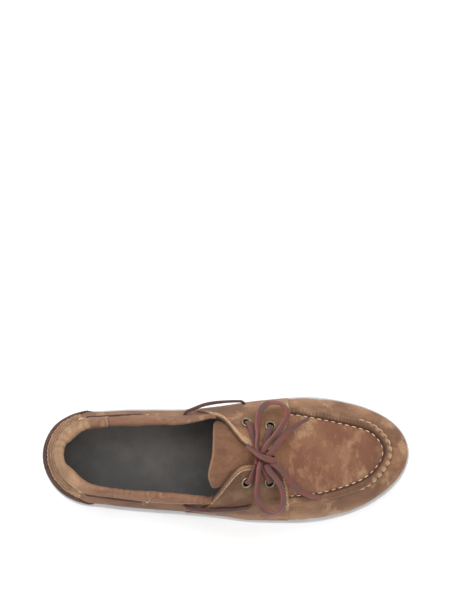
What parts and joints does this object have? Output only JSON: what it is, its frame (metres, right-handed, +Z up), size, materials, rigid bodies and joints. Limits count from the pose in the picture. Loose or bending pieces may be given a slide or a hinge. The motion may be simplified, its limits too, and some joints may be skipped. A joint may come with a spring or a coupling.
{
  "type": "boat shoe",
  "caption": "Low boat shoe for the right foot, with a raised moccasin toe seam, saddle flaps, padded collar, laced throat with a tied bow and a flat grooved sole.",
  "frame": {"origin": "on the floor, under the middle of the shoe's length and width with the free lace left out", "axes": "+Y from heel to toe, +X towards the outer side of the foot, +Z up"},
  "size_m": [0.1024, 0.2928, 0.0884],
  "materials": {
    "rubber": "matt",
    "footbed": "matt",
    "suede": "suede",
    "dark_leather": "suede",
    "brass": "antique",
    "rawhide": "satin"
  },
  "bodies": {
    "root": {"outsole": "rubber", "insole": "footbed", "upper": "suede", "saddle_medial": "suede", "saddle_lateral": "suede", "heel_counter": "dark_leather", "back_tab": "suede", "collar": "suede", "tongue": "suede", "eyelet_medial_rear": "brass", "eyelet_medial_front": "brass", "eyelet_lateral_rear": "brass", "eyelet_lateral_front": "brass", "lace_bars": "rawhide", "side_lace_medial_rear": "rawhide", "side_lace_medial_front": "rawhide", "side_lace_lateral_rear": "rawhide", "side_lace_lateral_front": "rawhide", "lace_knot": "rawhide", "lace_loop_medial": "rawhide", "lace_loop_lateral": "rawhide", "lace_end_medial": "rawhide", "lace_end_lateral": "rawhide"}
  },
  "joints": []
}
